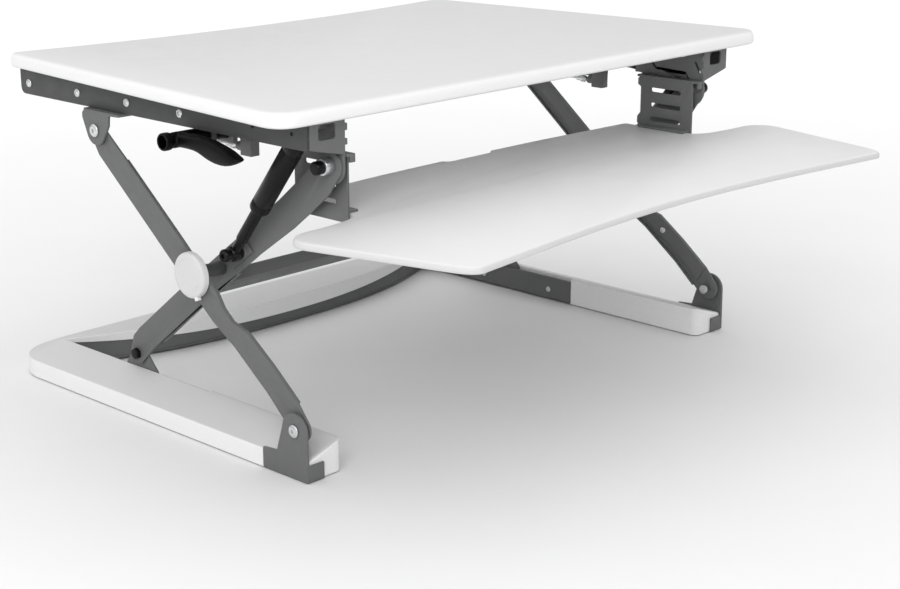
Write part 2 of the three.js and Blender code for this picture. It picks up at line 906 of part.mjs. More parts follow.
function trayHanger() {
  const [inner, outer] = HANGER;
  const [front, back] = [10.5, 97.5];
  const plate = outline([
    [front, 285.5],
    [back, 285.5],
    [back, 296],
    [back + 5, 299],
    [back + 5, 308],
    [back, 314],
    [back, 350],
    [back + 5, 353],
    [back + 5, 361],
    [back + 2, 364],
    [front, 364],
  ]);
  for (const z of [347.5, 326.5, 307]) {
    const [from, to] = [29.5, 80];
    const slot = roundedPolygon([
      [from, z - 3, 3],
      [to, z - 3, 3],
      [to, z + 3, 3],
      [from, z + 3, 3],
    ]);
    plate.holes.push(slot);
  }
  const ledge = TRAY_BOTTOM + TRAY_THICKNESS + GAP;
  return join(
    plateX(plate, inner, outer, 4),
    box([inner, 331.6], [0, 104], [363.4, 366.4]),
    box([inner, 327], [0, 3], [356.5, 364.4]),
    box([304, outer - 1], [13, 89], [ledge, ledge + 2.6]),
  );
}

// Keyboard tray: broad wings in front of the base, and a tongue between the hangers
function keyboardTray() {
  const edge = 2.5;
  const frontEdge = (x) => -211.5 - 47.7 * (x / 400) ** 2 + 12.4 * (x / 400) ** 4;
  const right = [];
  const steps = 9;
  for (let i = 0; i <= steps; i++) {
    const x = (360 * i) / steps;
    right.push([x, frontEdge(x), 0]);
  }
  right.push([391.5, frontEdge(391.5), 32]);
  right.push([454, -9, 40]);
  right.push([372, -10, 36]);
  right.push([331, -3, 12]);
  right.push([317.6, 9, 7]);
  right.push([318, 122, 8]);
  right.push([150, 130.5, 0]);
  right.push([TRAY_NOTCH + 6, 132.5, 2]);
  right.push([TRAY_NOTCH, 124, 2]);
  const left = right
    .slice(1)
    .reverse()
    .map(([x, y, radius]) => [-x, y, radius]);
  const drawnIn = ([x, y, radius]) => [
    x * (1 - edge / 320),
    y + (y < -100 ? edge : -edge / 2),
    radius,
  ];
  const shape = roundedPolygon([...right, ...left].map(drawnIn));
  return new THREE.ExtrudeGeometry(shape, {
    depth: TRAY_THICKNESS - 2 * edge,
    bevelThickness: edge,
    bevelSize: edge,
    bevelOffset: -edge * 0.2,
    bevelSegments: 1,
  }).translate(0, 0, TRAY_BOTTOM + edge);
}

placePair(desk, "side_rail", sideRail(), darkGrey);
placePair(desk, "upper_slide", upperSlide(), brightSteel);
placePair(desk, "top_bracket", topBracket(), steelGrey);
placePair(desk, "top_pivot_bolt", topPivotBolt(), brightSteel);
placePair(desk, "top_pivot_nut", topPivotNut(), blackPaint);
placePair(desk, "tray_hanger", trayHanger(), steelGrey);
place(desk, "keyboard_tray", keyboardTray(), trayWhite);

// ---------- height release: a squeeze lever on each side, with its cable ----------

function leverBracket() {
  return cut(
    join(
      box([327, 334], [LEVER_AXIS.y - 14, LEVER_AXIS.y + 14], [353, UNDERSIDE]),
      box([312, 334], [LEVER_AXIS.y - 14, LEVER_AXIS.y + 14], [UNDERSIDE - 3, UNDERSIDE]),
    ),
    turnedX(bar(8.5, 320, 340), LEVER_AXIS.y, LEVER_AXIS.z),
  );
}

function cableBlock() {
  const middle = 323;
  return cut(
    join(
      box([middle - 6.5, middle + 6.5], [164, 183], [339.5, 363]),
      turnedY(bar(5.5, 183, 193), 16).translate(middle, 0, 348.5),
      box([middle - 4.5, middle + 4.5], [164, 178], [362, UNDERSIDE]),
      box([middle - 12, middle + 8], [160, 188], [UNDERSIDE - 3, UNDERSIDE]),
    ),
    cablePath(2.6),
  );
}

// Sheathed cable: into the clamp block, up through it, then forward under the board to the spring's valve
function cablePath(radius) {
  const curve = new THREE.CatmullRomCurve3(
    [
      [323, 240, 348.5],
      [323, 205, 348.5],
      [323, 184, 348.8],
      [323, 174, 355],
      [323, 170, 368],
      [322, 164, 386],
      [320, 130, 395],
      [320, 80, 397],
      [326, 40, 397.5],
      [330.5, 32, 397],
    ].map(([x, y, z]) => new THREE.Vector3(x, y, z)),
  );
  const round = new THREE.Shape().absarc(0, 0, radius, 0, 2 * Math.PI, false);
  return new THREE.ExtrudeGeometry(round, { steps: 30, extrudePath: curve, curveSegments: 3 });
}

function releaseCable() {
  const cable = cablePath(1.6);
  const adjuster = turnedY(
    [
      [196, 2.4],
      [200, 5],
      [206, 5],
      [206, 3.6],
      [213, 3.6],
      [216, 2],
    ],
    12,
  ).translate(323, 0, 348.5);
  return join(cable, adjuster);
}

// Lever: y and z from the shaft's axis
function releaseLever() {
  const shaft = turnedX(
    [
      [324.5, 8],
      [352, 8],
      [354, 9.2],
      [414, 9.2],
      [416, 10.5],
      [426, 10.5],
    ],
    0,
    0,
    24,
  );
  const blade = outline([[5, -8]]);
  blade.lineTo(-20, -7.5);
  blade.bezierCurveTo(-45, -9, -50, -18.5, -74, -18.8);
  blade.bezierCurveTo(-90, -18.5, -106, -13, -110, -9.5);
  blade.quadraticCurveTo(-111.5, -7.5, -108, -6);
  blade.bezierCurveTo(-92, 0, -75, 6, -56, 8.2);
  blade.bezierCurveTo(-40, 9.6, -15, 9, 5, 8);
  const paddle = plateX(blade, 393, 411, 8);
  return cut(join(shaft, paddle), turnedX(bar(7.5, 410, 430)));
}

placePair(desk, "lever_bracket", leverBracket(), greyPlastic);
placePair(desk, "cable_block", cableBlock(), greyPlastic);
placePair(desk, "release_cable", releaseCable(), brightSteel);
placePair(levers, "release_lever", releaseLever(), blackPlastic);

// ---------- gas springs: y runs from the top pin to the pin on the inner arm ----------

const SPRING_TUBE_END = 134;

function springCylinder() {
  const tube = turnedY(
    [
      [6, 5.5],
      [14, 5.5],
      [16, SPRING_RADIUS - 2],
      [18, SPRING_RADIUS],
      [SPRING_TUBE_END - 3, SPRING_RADIUS],
      [SPRING_TUBE_END, SPRING_RADIUS - 2.5],
    ],
    24,
  ).translate(SPRING_X, 0, 0);
  return cut(
    join(tube, turnedX(bar(8.8, SPRING_X - 7, SPRING_X + 7))),
    turnedX(bar(4.5, SPRING_X - 9, SPRING_X + 9)),
    turnedY(bar(8.8, 30, SPRING_TUBE_END + 3), 24).translate(SPRING_X, 0, 0),
  );
}

function springRod() {
  const rod = turnedY(
    [
      [92, 8.3],
      [springLength - 24, 8.3],
      [springLength - 19, 6.8],
      [springLength - 2, 6.8],
    ],
    24,
  ).translate(SPRING_X, 0, 0);
  return join(
    rod,
    turnedX(
      [
        [356.3, 8],
        [358, 9.5],
        [371, 9.5],
        [372, 8],
        [381, 8],
        [382, 7],
      ],
      springLength,
      0,
      24,
    ),
  );
}

function springTopPin() {
  return turnedX(bar(4, BRACKET_SIDE[1] + GAP, RAIL.inner - GAP), SPRING_TOP.y, SPRING_TOP.z, 16);
}

placePair(springs, "spring_cylinder", springCylinder(), blackPaint);
placePair(springs, "spring_rod", springRod(), blackPaint);
placePair(desk, "spring_top_pin", springTopPin(), brightSteel);

const middle = new THREE.Box3().setFromObject(converter).getCenter(new THREE.Vector3());
converter.position.y = -middle.y;

export default converter;
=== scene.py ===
"""The looks of a sit-stand desk converter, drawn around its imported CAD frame.

Shapes are written in millimetres from the middle of the base's front ends at table height, and at() places
them. Pieces that come in pairs are drawn on the user's right and mirrored by side = -1.
"""

import json
import math

import bmesh
import bpy
from mathutils import Matrix, Vector


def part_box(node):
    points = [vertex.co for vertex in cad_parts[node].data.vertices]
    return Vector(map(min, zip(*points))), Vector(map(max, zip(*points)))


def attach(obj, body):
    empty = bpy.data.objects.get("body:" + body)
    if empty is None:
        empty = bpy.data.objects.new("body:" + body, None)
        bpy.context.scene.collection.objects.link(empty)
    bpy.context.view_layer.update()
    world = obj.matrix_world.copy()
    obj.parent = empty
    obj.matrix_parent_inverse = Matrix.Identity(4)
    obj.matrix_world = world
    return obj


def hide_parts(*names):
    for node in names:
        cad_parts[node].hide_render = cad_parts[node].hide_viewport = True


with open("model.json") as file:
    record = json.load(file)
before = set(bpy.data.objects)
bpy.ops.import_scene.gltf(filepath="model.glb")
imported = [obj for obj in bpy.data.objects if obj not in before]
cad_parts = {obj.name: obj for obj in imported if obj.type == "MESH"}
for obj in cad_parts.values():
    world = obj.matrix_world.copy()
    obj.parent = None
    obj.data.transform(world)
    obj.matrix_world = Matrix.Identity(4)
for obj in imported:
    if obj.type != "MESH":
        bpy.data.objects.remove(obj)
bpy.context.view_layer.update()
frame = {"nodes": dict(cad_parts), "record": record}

MM = 0.001
BASE_BACK = 590
FRONT_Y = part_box("base_cover")[1].y - BASE_BACK * MM

# The scissor lift at rest
ARM = 459  # between the pivots at its ends
REST = math.radians(39.73)
FRONT_PIVOT = 21.5
LOW_PIVOT = 58.7
HIGH_PIVOT = LOW_PIVOT + ARM * math.sin(REST)
REAR_PIVOT = FRONT_PIVOT + ARM * math.cos(REST)
CENTRE = ((FRONT_PIVOT + REAR_PIVOT) / 2, (LOW_PIVOT + HIGH_PIVOT) / 2)
BOARD_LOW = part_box("desktop_board")[0].z / MM
BOARD_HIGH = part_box("desktop_board")[1].z / MM
TRAY_LOW = 288
TRAY_HIGH = 296


def at(x, y, z):
    """A point in metres, from millimetres measured at the middle of the base's front ends."""
    return Vector((x * MM, FRONT_Y + y * MM, z * MM))


# ---------- materials ----------


def shader(name):
    material = bpy.data.materials.new(name)
    material.use_nodes = True
    nodes = material.node_tree.nodes
    nodes.clear()
    output = nodes.new("ShaderNodeOutputMaterial")
    surface = nodes.new("ShaderNodeBsdfPrincipled")
    material.node_tree.links.new(surface.outputs["BSDF"], output.inputs["Surface"])
    return material, surface


def add(material, kind, inputs=None, **settings):
    """A node with its settings and its inputs, each a value or another node's output."""
    node = material.node_tree.nodes.new(kind)
    for key, value in settings.items():
        setattr(node, key, value)
    for key, value in (inputs or {}).items():
        if isinstance(value, bpy.types.NodeSocket):
            material.node_tree.links.new(value, node.inputs[key])
        else:
            node.inputs[key].default_value = value
    return node


def noise(material, scale, detail=3.0, stretch=(1, 1, 1)):
    """Noise of about 1/scale metres, laid through the solid."""
    place = add(material, "ShaderNodeTexCoord")
    stretched = add(material, "ShaderNodeMapping", {"Vector": place.outputs["Object"], "Scale": stretch})
    texture = add(
        material,
        "ShaderNodeTexNoise",
        {"Vector": stretched.outputs["Vector"], "Scale": scale, "Detail": detail, "Roughness": 0.55},
    )
    return texture.outputs["Fac"]


def spread(material, value, low, high):
    """Maps 0.3..0.7, where noise mostly lies, to low..high."""
    return add(
        material,
        "ShaderNodeMapRange",
        {"Value": value, "From Min": 0.3, "From Max": 0.7, "To Min": low, "To Max": high},
    ).outputs["Result"]


def mixed(material, factor, first, second):
    node = add(material, "ShaderNodeMix", data_type="RGBA")
    links = material.node_tree.links
    colours = [s for s in node.inputs if s.type == "RGBA"]
    for socket, value in ((node.inputs["Factor"], factor), (colours[0], first), (colours[1], second)):
        if isinstance(value, bpy.types.NodeSocket):
            links.new(value, socket)
        else:
            socket.default_value = value
    return [s for s in node.outputs if s.type == "RGBA"][0]


def edges(material, radius):
    """About 1 on edges sharper than the radius, and 0 on flat faces."""
    rounded = add(material, "ShaderNodeBevel", {"Radius": radius}, samples=4)
    plain = add(material, "ShaderNodeNewGeometry")
    match = add(
        material,
        "ShaderNodeVectorMath",
        {0: rounded.outputs["Normal"], 1: plain.outputs["Normal"]},
        operation="DOT_PRODUCT",
    )
    return add(
        material,
        "ShaderNodeMapRange",
        {"Value": match.outputs["Value"], "From Min": 0.98, "From Max": 0.80},
    ).outputs["Result"]


def grey(value, tint=0.0):
    """A linear colour from a display grey of 0..1, a little bluer with tint."""
    linear = value / 12.92 if value <= 0.04045 else ((value + 0.055) / 1.055) ** 2.4
    return (linear * (1 - tint), linear, linear * (1 + tint), 1)


def facing_sideways(material):
    """0 on level faces and 1 on upright ones: the mask for painted side light and shade."""
    geometry = add(material, "ShaderNodeNewGeometry")
    parts = add(material, "ShaderNodeSeparateXYZ", {0: geometry.outputs["Normal"]})
    height = add(material, "ShaderNodeMath", {0: parts.outputs["Z"]}, operation="ABSOLUTE")
    return add(
        material,
        "ShaderNodeMapRange",
        {"Value": height.outputs[0], "From Min": 0.9, "From Max": 0.5},
    ).outputs["Result"]


def finish(
    name,
    colour,
    patch,
    roughness,
    grain,
    metallic=0.0,
    wear=None,
    coat=0.0,
    stretch=(1, 1, 1),
    sheen=0.5,
    side_shading=None,
):
    """A surface with soft colour patches, uneven roughness and a fine relief.

    patch is how far the patches lie from the colour, as a share, and roughness its lowest and highest value.
    grain is the relief's scale and strength, wear the colour and share of worn edges, sheen the strength of
    reflections, and the last argument a colour painted on upright faces: painted light or shade for the
    light the sides catch, more or less than level faces.
    """
    material, surface = shader(name)
    surface.inputs["Metallic"].default_value = metallic
    surface.inputs["Coat Weight"].default_value = coat
    surface.inputs["Coat Roughness"].default_value = 0.25
    surface.inputs["Specular IOR Level"].default_value = sheen
    patches = noise(material, 14, 4)
    lighter = [min(1.0, c * (1 + patch)) for c in colour[:3]] + [1]
    darker = [c * (1 - patch) for c in colour[:3]] + [1]
    body = mixed(material, patches, darker, lighter)
    # Painted light or shade: upright faces take their own colour for the side light they catch
    if side_shading:
        body = mixed(material, facing_sideways(material), body, side_shading)
    fine = noise(material, grain[0], 2, stretch)
    speck = spread(material, fine, 0.0, 0.16)
    body = mixed(material, speck, body, [c * 0.8 for c in colour[:3]] + [1])
    smudge = noise(material, 45, 5)
    rough = spread(material, smudge, roughness[0], roughness[1])
    if wear:
        edge = edges(material, 0.0012)
        broken = spread(material, noise(material, 160, 4), 0.0, 1.0)
        worn = add(material, "ShaderNodeMath", {0: edge, 1: broken}, operation="MULTIPLY")
        amount = add(material, "ShaderNodeMath", {0: worn.outputs[0], 1: wear[1]}, operation="MULTIPLY")
        body = mixed(material, amount.outputs[0], body, wear[0])
    material.node_tree.links.new(body, surface.inputs["Base Color"])
    material.node_tree.links.new(rough, surface.inputs["Roughness"])
    relief = add(
        material,
        "ShaderNodeBump",
        {"Height": fine, "Strength": grain[1], "Distance": 0.001},
    )
    material.node_tree.links.new(relief.outputs["Normal"], surface.inputs["Normal"])
    return material


LOOKS = {
    "board_white": finish(
        "board_laminate",
        grey(0.84),
        0.012,
        (0.38, 0.5),
        (1100, 0.10),
        wear=(grey(0.86), 0.25),
        sheen=0.3,
        # painted light: the board's upright edge is lighter than its top, for the side light falling on it
        side_shading=grey(0.94),
    ),
    "tray_white": finish(
        "tray_laminate",
        grey(0.865),
        0.012,
        (0.36, 0.48),
        (1100, 0.10),
        wear=(grey(0.86), 0.25),
        sheen=0.3,
        # painted shade: the tray's upright edge is darker than its top
        side_shading=grey(0.82),
    ),
    "cover_white": finish(
        "moulded_cover",
        grey(0.80),
        0.015,
        (0.42, 0.56),
        (700, 0.22),
        wear=(grey(0.93), 0.3),
        sheen=0.25,
        # painted light: the cover's upright faces are lighter than its top, for the side light falling on
        # them
        side_shading=grey(0.95),
    ),
    "cap_white": finish(
        "moulded_cap",
        grey(0.84),
        0.015,
        (0.4, 0.54),
        (800, 0.2),
        wear=(grey(0.86), 0.3),
        sheen=0.25,
    ),
    "grey_steel": finish(
        "grey_powder_coat",
        grey(0.43, 0.01),
        0.06,
        (0.42, 0.58),
        (1300, 0.35),
        metallic=0.1,
        wear=(grey(0.5), 0.5),
        sheen=0.3,
    ),
    "dark_grey_steel": finish(
        "dark_powder_coat",
        grey(0.30, 0.01),
        0.06,
        (0.40, 0.56),
        (1300, 0.35),
        metallic=0.1,
        wear=(grey(0.44), 0.5),
        sheen=0.3,
    ),
    "bright_steel": finish(
        "zinc_plated_steel",
        grey(0.86, 0.01),
        0.08,
        (0.2, 0.36),
        (420, 0.06),
        metallic=0.9,
        stretch=(1, 0.12, 1),
    ),
    "black_steel": finish(
        "black_painted_steel",
        grey(0.035),
        0.1,
        (0.26, 0.38),
        (900, 0.12),
        wear=(grey(0.22), 0.3),
        coat=0.06,
        sheen=0.18,
    ),
    "black_plastic": finish(
        "black_grip_plastic",
        grey(0.012),
        0.1,
        (0.36, 0.5),
        (1500, 0.3),
        wear=(grey(0.16), 0.4),
        sheen=0.16,
    ),
    "grey_plastic": finish(
        "grey_nylon",
        grey(0.44),
        0.06,
        (0.42, 0.55),
        (1200, 0.25),
        wear=(grey(0.54), 0.4),
        sheen=0.3,
    ),
    "black_rubber": finish(
        "foot_rubber",
        grey(0.10),
        0.12,
        (0.7, 0.9),
        (800, 0.4),
        sheen=0.2,
    ),
}


def wear_slot(piece, slot):
    """Dresses a piece in one of the looks."""
    piece.data.materials.clear()
    piece.data.materials.append(LOOKS[slot])


# ---------- smoothing shared by every piece ----------


def smooth_by_angle():
    """Geometry nodes that shade smoothly across edges flatter than 32 degrees."""
    group = bpy.data.node_groups.new("smooth_by_angle", "GeometryNodeTree")
    group.interface.new_socket("Geometry", in_out="INPUT", socket_type="NodeSocketGeometry")
    group.interface.new_socket("Geometry", in_out="OUTPUT", socket_type="NodeSocketGeometry")
    nodes = group.nodes
    links = group.links
    entry = nodes.new("NodeGroupInput")
    leave = nodes.new("NodeGroupOutput")
    angle = nodes.new("GeometryNodeInputMeshEdgeAngle")
    flat = nodes.new("FunctionNodeCompare")
    flat.data_type = "FLOAT"
    flat.operation = "LESS_THAN"
    flat.inputs["B"].default_value = math.radians(32)
    faces = nodes.new("GeometryNodeSetShadeSmooth")
    creases = nodes.new("GeometryNodeSetShadeSmooth")
    faces.domain = "FACE"
    creases.domain = "EDGE"
    links.new(angle.outputs["Unsigned Angle"], flat.inputs["A"])
    links.new(entry.outputs[0], faces.inputs["Geometry"])
    links.new(faces.outputs["Geometry"], creases.inputs["Geometry"])
    links.new(flat.outputs["Result"], creases.inputs["Shade Smooth"])
    links.new(creases.outputs["Geometry"], leave.inputs[0])
    return group


SMOOTH = smooth_by_angle()


def shade_smoothly(piece):
    """Smooth shading that keeps sharp edges sharp."""
    shade = piece.modifiers.new("shade", "NODES")
    shade.node_group = SMOOTH


def soften(piece, width, merge_flats=True):
    """Rounds the sharp edges by width millimetres and smooths the shading."""
    weld = piece.modifiers.new("weld", "WELD")
    weld.merge_threshold = 0.00001
    if merge_flats:
        flat = piece.modifiers.new("flat_faces", "DECIMATE")
        flat.decimate_type = "DISSOLVE"
        flat.angle_limit = math.radians(0.6)
    if width:
        bevel = piece.modifiers.new("edges", "BEVEL")
        bevel.width = width * MM
        bevel.segments = 2
        bevel.limit_method = "ANGLE"
        bevel.angle_limit = math.radians(35)
        bevel.use_clamp_overlap = False
    shade_smoothly(piece)


# ---------- shapes ----------


def piece_from(name, form, body, slot, side=1):
    """Turns a bmesh drawn in millimetres into a piece that rides on a body."""
    for vertex in form.verts:
        vertex.co = at(vertex.co.x * side, vertex.co.y, vertex.co.z)
    if side < 0:
        bmesh.ops.reverse_faces(form, faces=form.faces)
    mesh = bpy.data.meshes.new(name)
    form.to_mesh(mesh)
    form.free()
    piece = bpy.data.objects.new(name, mesh)
    bpy.context.scene.collection.objects.link(piece)
    wear_slot(piece, slot)
    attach(piece, body)
    return piece


def skin(form, rings, ends="caps", around=True):
    """Joins rings of equal point counts.

    ends is "caps" for both ends, "first" for one cap, or "join" to join the last ring to the first.
    """
    made = [[form.verts.new(point) for point in ring] for ring in rings]
    count = len(rings[0])
    pairs = list(zip(made, made[1:]))
    if ends == "join":
        pairs.append((made[-1], made[0]))
    for low, high in pairs:
        for i in range(count if around else count - 1):
            j = (i + 1) % count
            form.faces.new((low[i], low[j], high[j], high[i]))
    if ends in ("caps", "first"):
        form.faces.new(list(reversed(made[0])))
    if ends == "caps":
        form.faces.new(made[-1])


def eased(points, radii, steps=5):
    """An open line through the points, with a curve at each middle corner that starts radius before it."""
    line = [points[0]]
    for before, here, after, radius in zip(points, points[1:], points[2:], radii):
        back = before - here
        ahead = after - here
        start = here + back.normalized() * min(radius, back.length / 2)
        end = here + ahead.normalized() * min(radius, ahead.length / 2)
        for k in range(steps + 1):
            t = k / steps
            line.append(start * (1 - t) ** 2 + here * 2 * t * (1 - t) + end * t * t)
    line.append(points[-1])
    return line


def between(points, at_value):
    """A smooth curve through (position, value) points, read at one position."""
    points = sorted(points)
    for i in range(len(points) - 1):
        if at_value <= points[i + 1][0]:
            break
    (x0, y0), (x1, y1) = points[i], points[i + 1]
    before = points[max(0, i - 1)]
    after = points[min(len(points) - 1, i + 2)]
    slope0 = (y1 - before[1]) / (x1 - before[0])
    slope1 = (after[1] - y0) / (after[0] - x0)
    span = x1 - x0
    t = max(0.0, min(1.0, (at_value - x0) / span))
    return (
        (2 * t**3 - 3 * t**2 + 1) * y0
        + (t**3 - 2 * t**2 + t) * span * slope0
        + (3 * t**2 - 2 * t**3) * y1
        + (t**3 - t**2) * span * slope1
    )


def inset(points, by):
    """Moves each point of a closed anticlockwise outline inwards."""
    moved = []
    for i, (x, y) in enumerate(points):
        before = points[i - 1]
        after = points[(i + 1) % len(points)]
        first = Vector((x - before[0], y - before[1])).normalized()
        second = Vector((after[0] - x, after[1] - y)).normalized()
        normal = Vector((-first.y - second.y, first.x + second.x))
        normal /= max(normal.length, 1e-9)
        stretch = 1 / max(0.5, normal.dot(Vector((-first.y, first.x))))
        moved.append((x + normal.x * by * stretch, y + normal.y * by * stretch))
    return moved


def slab(points, low, high, under, over, steps):
    """A board whose edge is rounded by under and over: how far each curve reaches in, and its height."""
    form = bmesh.new()
    profile = []
    for i in range(steps + 1):
        turn = math.pi / 2 * i / steps
        profile.append((under[0] * (1 - math.sin(turn)), low + under[1] * (1 - math.cos(turn))))
    for i in range(steps + 1):
        turn = math.pi / 2 * i / steps
        profile.append((over[0] * (1 - math.cos(turn)), high - over[1] * (1 - math.sin(turn))))
    rings = [[(x, y, z) for x, y in inset(points, by)] for by, z in profile]
    skin(form, rings)
    return form


def rounded(corners, steps):
    """A closed outline through corners (x, y, radius), turned by curves that start radius before each."""
    points = []
    for i, (x, y, radius) in enumerate(corners):
        if radius <= 0:
            points.append((x, y))
            continue
        here = Vector((x, y))
        before = Vector(corners[i - 1][:2]) - here
        after = Vector(corners[(i + 1) % len(corners)][:2]) - here
        start = here + before.normalized() * min(radius, before.length / 2)
        end = here + after.normalized() * min(radius, after.length / 2)
        for k in range(steps + 1):
            t = k / steps
            point = start * (1 - t) ** 2 + here * 2 * t * (1 - t) + end * t * t
            points.append((point.x, point.y))
    return points


def turned(steps, centre, axis="X", segments=32, form=None, ends="caps"):
    """A round part along X or Y, from steps of (position, radius) or (position, corner radius, sides)."""
    form = form or bmesh.new()
    rings = []
    for along, radius, *sides in steps:
        ring = []
        for i in range(segments):
            angle = 2 * math.pi * i / segments
            reach = radius * (polygon(angle, sides[0]) if sides else 1)
            a = reach * math.cos(angle)
            b = reach * math.sin(angle)
            if axis == "X":
                ring.append((along, centre[0] + a, centre[1] + b))
            else:
                ring.append((centre[0] + b, along, centre[1] + a))
        rings.append(ring)
    skin(form, rings, ends)
    return form


def polygon(angle, sides):
    """How far a regular polygon's rim lies from its middle, as a share of its corner radius."""
    part = 2 * math.pi / sides
    return math.cos(part / 2) / math.cos((angle % part) - part / 2)


SOCKET = 0.52  # corner radius of a hex socket, as a share of the head's radius


def button_screw(face, radius, height, outwards):
    """Steps for a domed screw head with a hex socket, standing on a face at a position along the axis."""
    socket = radius * SOCKET
    steps = [(face, radius), (face + height * 0.35 * outwards, radius)]
    for i in range(1, 5):
        turn = math.pi / 2 * i / 5
        rise = height * (0.35 + 0.65 * math.sin(turn))
        reach = radius * (0.55 + 0.45 * math.cos(turn))
        steps.append((face + rise * outwards, reach))
    top = face + height * outwards
    steps.append((top, socket * 1.08, 6))
    steps.append((top - height * 0.8 * outwards, socket, 6))
    return steps


# ---------- desktop board and keyboard tray ----------

BOARD_FRONT = -16
BOARD_BACK = 526  # in the middle, where the back edge is furthest forward
BOARD_BOW = 36
BOARD_HALF = 443.5  # at the front
BOARD_TAPER = 0.09
BOARD_FRONT_CORNER = 36
BOARD_BACK_CORNER = 16


def board_half(y):
    """Half the board's width, which narrows towards the back."""
    return BOARD_HALF - BOARD_TAPER * (y - BOARD_FRONT)


def board_outline():
    corner = BOARD_BACK + BOARD_BOW
    front_half = board_half(BOARD_FRONT)
    back_half = board_half(corner)
    corners = [
        (-front_half, BOARD_FRONT, BOARD_FRONT_CORNER),
        (front_half, BOARD_FRONT, BOARD_FRONT_CORNER),
        (back_half, corner, BOARD_BACK_CORNER),
    ]
    steps = 32
    for i in range(1, steps):
        x = back_half * (1 - 2 * i / steps)
        corners.append((x, BOARD_BACK + BOARD_BOW * (x / back_half) ** 2, 0))
    corners.append((-back_half, corner, BOARD_BACK_CORNER))
    return rounded(corners, 14)


def make_board():
    under = (3.5, 3.5)
    over = (7, 12)
    form = slab(board_outline(), BOARD_LOW, BOARD_HIGH, under, over, 8)
    board = piece_from("desktop_top", form, "desktop", "board_white")
    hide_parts("desktop_board")
    soften(board, 0)


TRAY_HALF = 444.5  # at the wings
TRAY_WAIST = 317.4  # half the width between the hangers
TRAY_NOTCH = 40


def tray_front(x):
    """The tray's front edge, which curves towards the user at its ends."""
    share = x / 400
    return -211.5 - 47.7 * share**2 + 12.4 * share**4


def tray_outline():
    """Drawn from the middle of the front, round a wing and the waist, to the notch at the back."""
    curved = 360
    steps = 20
    right = [(curved * i / steps, tray_front(curved * i / steps), 0) for i in range(1, steps + 1)]
    right += [
        (391, tray_front(391), 32),
        (TRAY_HALF, -36, 18),
        (424, -11.5, 18),
        (372, -10.5, 36),
        (331, -3.5, 12),
        (TRAY_WAIST, 9, 7),
        (TRAY_WAIST, 121.5, 8),
        (150, 130, 0),
        (45.5, 132, 2),
        (TRAY_NOTCH, 123.5, 2),
    ]
    left = [(-x, y, radius) for x, y, radius in reversed(right)]
    return rounded([(0, tray_front(0), 0)] + right + left, 10)


def make_tray():
    under = (2, 2.4)
    over = (3, 5)
    form = slab(tray_outline(), TRAY_LOW, TRAY_HIGH, under, over, 5)
    tray = piece_from("keyboard_tray_top", form, "desktop", "tray_white")
    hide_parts("keyboard_tray")
    soften(tray, 0)


# ---------- base cover ----------

FOOT_OUTER = 400
FOOT_RIDGE = 349
FOOT_INNER_FRONT = 342
FOOT_INNER_REAR = 348  # behind the front part, where the slide track shows below
COVER_BOTTOM = 1.5
COVER_END = 3.5
COVER_WALL = 2.3
CORNER = 60  # radius of the rear corners in plan
RIDGE_CORNER = 10
SIDE_TOP = 24
CROWN = 40
CROWN_REAR = 552  # where the beam's flat crown ends and its back slopes down
TRACK_TOP = 34
BEAM_FRONT = 473  # in the middle, where the beam is deepest
BEAM_BOW = 66
BEAM_LOW = 18
BEAM_ARCH = 16
COVER_CURVES = (1.6, 7, 1.8)  # at the side's top, the ridge and the inner edge


def beam_front(x):
    """Front edge of the bowed beam."""
    return BEAM_FRONT + BEAM_BOW * abs(x / FOOT_INNER_FRONT) ** 2.6


def beam_low(x):
    """Height of the lower edge of the beam's front wall."""
    return BEAM_LOW + BEAM_ARCH * (x / FOOT_INNER_FRONT) ** 2


